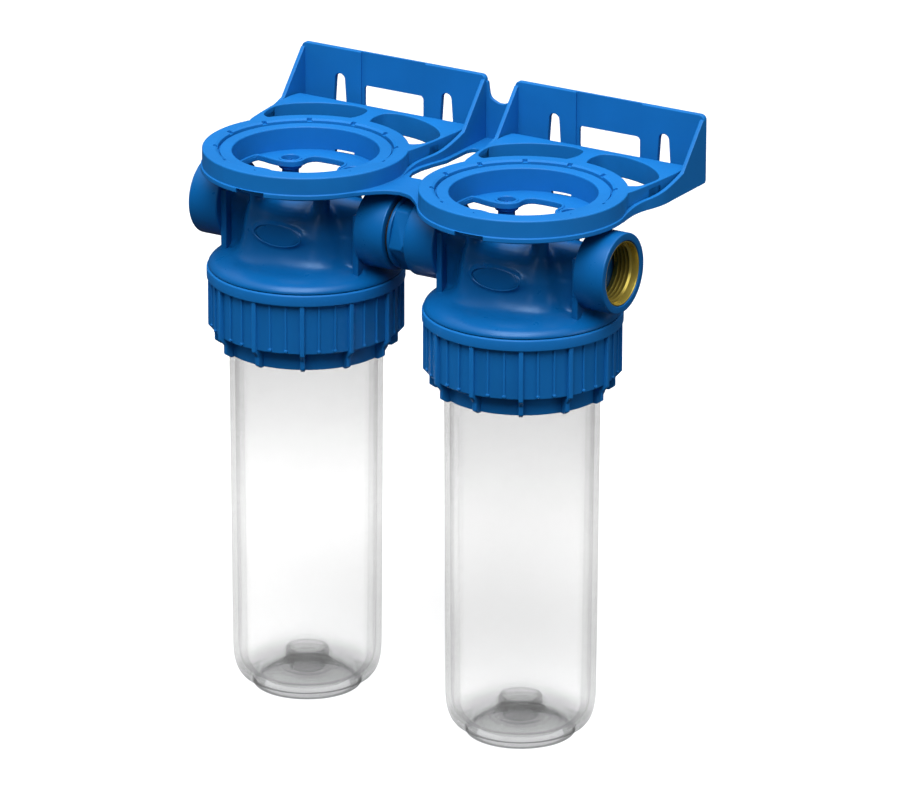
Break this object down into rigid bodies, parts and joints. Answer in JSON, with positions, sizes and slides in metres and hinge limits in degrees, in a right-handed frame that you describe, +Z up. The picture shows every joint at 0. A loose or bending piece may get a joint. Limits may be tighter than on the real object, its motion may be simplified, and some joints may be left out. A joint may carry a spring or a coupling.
{
  "type": "duplex water filter housing",
  "caption": "Two filter heads with clear bowls and ribbed collar nuts, joined by a nipple and hung from one wall bracket, with threaded ports at both ends.",
  "frame": {"origin": "middle of the housing's box, in the plane of the bowls' feet", "axes": "+X along the row of filters towards the outlet, +Y to the wall, +Z up"},
  "size_m": [0.2604, 0.1484, 0.3354],
  "materials": {
    "blue_polypropylene": "satin moulded",
    "clear_styrene": "clear polished",
    "brass": "machined",
    "nitrile_rubber": "moulded",
    "white_acetal": "moulded",
    "red_polypropylene": "moulded",
    "spring_steel": "bright",
    "coated_steel": "blue coated"
  },
  "bodies": {
    "housing": {"bracket": "blue_polypropylene", "bracket_screw_left_1": "coated_steel", "bracket_screw_left_2": "coated_steel", "bracket_screw_left_3": "coated_steel", "bracket_screw_left_4": "coated_steel", "head_left": "blue_polypropylene", "inlet_insert_left": "brass", "outlet_insert_left": "brass", "vent_spring_left": "spring_steel", "bracket_screw_right_1": "coated_steel", "bracket_screw_right_2": "coated_steel", "bracket_screw_right_3": "coated_steel", "bracket_screw_right_4": "coated_steel", "head_right": "blue_polypropylene", "inlet_insert_right": "brass", "outlet_insert_right": "brass", "vent_spring_right": "spring_steel", "nipple": "blue_polypropylene", "nipple_seal_left": "nitrile_rubber", "nipple_seal_right": "nitrile_rubber"},
    "left_bowl": {"bowl_left": "clear_styrene", "bowl_oring_left": "nitrile_rubber", "slip_ring_left": "white_acetal"},
    "left_collar": {"collar_left": "blue_polypropylene"},
    "left_vent": {"vent_button_left": "red_polypropylene", "vent_seal_left": "nitrile_rubber", "vent_washer_left": "spring_steel"},
    "right_bowl": {"bowl_right": "clear_styrene", "bowl_oring_right": "nitrile_rubber", "slip_ring_right": "white_acetal"},
    "right_collar": {"collar_right": "blue_polypropylene"},
    "right_vent": {"vent_button_right": "red_polypropylene", "vent_seal_right": "nitrile_rubber", "vent_washer_right": "spring_steel"}
  },
  "joints": [
    {"name": "left_bowl_drop", "type": "slide", "parent": "housing", "child": "left_bowl", "axis": [0, 0, -1], "range_m": [0, 0.016]},
    {"name": "left_collar_turn", "type": "hinge", "parent": "left_bowl", "child": "left_collar", "pos_m": [-0.0685, -0.01814, 0.2422], "axis": [0, 0, -1], "range_deg": [0, 720]},
    {"name": "left_vent_press", "type": "slide", "parent": "housing", "child": "left_vent", "axis": [0, 0, -1], "range_m": [0, 0.0012], "stiffness_N_per_m": 800, "deforming": ["vent_spring_left"]},
    {"name": "right_bowl_drop", "type": "slide", "parent": "housing", "child": "right_bowl", "axis": [0, 0, -1], "range_m": [0, 0.016]},
    {"name": "right_collar_turn", "type": "hinge", "parent": "right_bowl", "child": "right_collar", "pos_m": [0.0685, -0.01814, 0.2422], "axis": [0, 0, -1], "range_deg": [0, 720]},
    {"name": "right_vent_press", "type": "slide", "parent": "housing", "child": "right_vent", "axis": [0, 0, -1], "range_m": [0, 0.0012], "stiffness_N_per_m": 800, "deforming": ["vent_spring_right"]}
  ],
  "couplings": [
    {"joint": "left_collar_turn", "follows": "left_bowl_drop", "rad_per_m": 785.4},
    {"joint": "right_collar_turn", "follows": "right_bowl_drop", "rad_per_m": 785.4}
  ]
}
